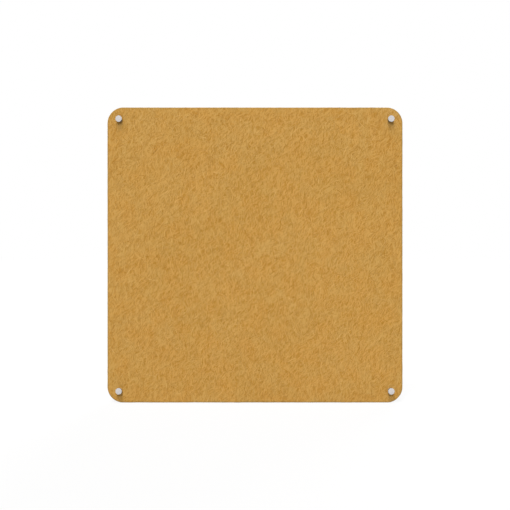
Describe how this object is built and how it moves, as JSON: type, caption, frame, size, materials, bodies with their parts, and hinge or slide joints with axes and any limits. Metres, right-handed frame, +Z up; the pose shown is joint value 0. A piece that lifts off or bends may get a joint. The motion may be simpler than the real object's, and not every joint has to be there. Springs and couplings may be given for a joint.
{
  "type": "pinboard",
  "caption": "Square felt pinboard with rounded corners, held off the wall by round metal standoffs whose caps unscrew by hand.",
  "frame": {"origin": "on the wall plane, in the middle of the rectangle that the wall screws make", "axes": "+Y into the wall, so the front of the board faces -Y; +X to the right seen from the front; +Z up"},
  "size_m": [0.6, 0.065, 0.6],
  "materials": {
    "felt": "matte",
    "satin_steel": "satin",
    "clear_nylon": "satin",
    "zinc_plate": "satin",
    "grey_nylon": "matte"
  },
  "bodies": {
    "board": {"felt_panel": "felt", "top_left_wall_plug": "grey_nylon", "top_left_wall_screw": "zinc_plate", "top_left_barrel": "satin_steel", "top_left_rear_washer": "clear_nylon", "top_right_wall_plug": "grey_nylon", "top_right_wall_screw": "zinc_plate", "top_right_barrel": "satin_steel", "top_right_rear_washer": "clear_nylon", "bottom_left_wall_plug": "grey_nylon", "bottom_left_wall_screw": "zinc_plate", "bottom_left_barrel": "satin_steel", "bottom_left_rear_washer": "clear_nylon", "bottom_right_wall_plug": "grey_nylon", "bottom_right_wall_screw": "zinc_plate", "bottom_right_barrel": "satin_steel", "bottom_right_rear_washer": "clear_nylon"},
    "top_left_washer_body": {"top_left_front_washer": "clear_nylon"},
    "top_left_cap_body": {"top_left_cap": "satin_steel"},
    "top_right_washer_body": {"top_right_front_washer": "clear_nylon"},
    "top_right_cap_body": {"top_right_cap": "satin_steel"},
    "bottom_left_washer_body": {"bottom_left_front_washer": "clear_nylon"},
    "bottom_left_cap_body": {"bottom_left_cap": "satin_steel"},
    "bottom_right_washer_body": {"bottom_right_front_washer": "clear_nylon"},
    "bottom_right_cap_body": {"bottom_right_cap": "satin_steel"}
  },
  "joints": [
    {"name": "top_left_cap_travel", "type": "slide", "parent": "board", "child": "top_left_washer_body", "axis": [0, -1, 0], "range_m": [0, 0.01]},
    {"name": "top_left_cap_turn", "type": "hinge", "parent": "top_left_washer_body", "child": "top_left_cap_body", "pos_m": [-0.276, -0.029, 0.276], "axis": [0, -1, 0], "range_deg": [0, 2880]},
    {"name": "top_right_cap_travel", "type": "slide", "parent": "board", "child": "top_right_washer_body", "axis": [0, -1, 0], "range_m": [0, 0.01]},
    {"name": "top_right_cap_turn", "type": "hinge", "parent": "top_right_washer_body", "child": "top_right_cap_body", "pos_m": [0.276, -0.029, 0.276], "axis": [0, -1, 0], "range_deg": [0, 2880]},
    {"name": "bottom_left_cap_travel", "type": "slide", "parent": "board", "child": "bottom_left_washer_body", "axis": [0, -1, 0], "range_m": [0, 0.01]},
    {"name": "bottom_left_cap_turn", "type": "hinge", "parent": "bottom_left_washer_body", "child": "bottom_left_cap_body", "pos_m": [-0.276, -0.029, -0.276], "axis": [0, -1, 0], "range_deg": [0, 2880]},
    {"name": "bottom_right_cap_travel", "type": "slide", "parent": "board", "child": "bottom_right_washer_body", "axis": [0, -1, 0], "range_m": [0, 0.01]},
    {"name": "bottom_right_cap_turn", "type": "hinge", "parent": "bottom_right_washer_body", "child": "bottom_right_cap_body", "pos_m": [0.276, -0.029, -0.276], "axis": [0, -1, 0], "range_deg": [0, 2880]}
  ],
  "couplings": [
    {"joint": "top_left_cap_travel", "follows": "top_left_cap_turn", "m_per_rad": 0.00019894},
    {"joint": "top_right_cap_travel", "follows": "top_right_cap_turn", "m_per_rad": 0.00019894},
    {"joint": "bottom_left_cap_travel", "follows": "bottom_left_cap_turn", "m_per_rad": 0.00019894},
    {"joint": "bottom_right_cap_travel", "follows": "bottom_right_cap_turn", "m_per_rad": 0.00019894}
  ]
}
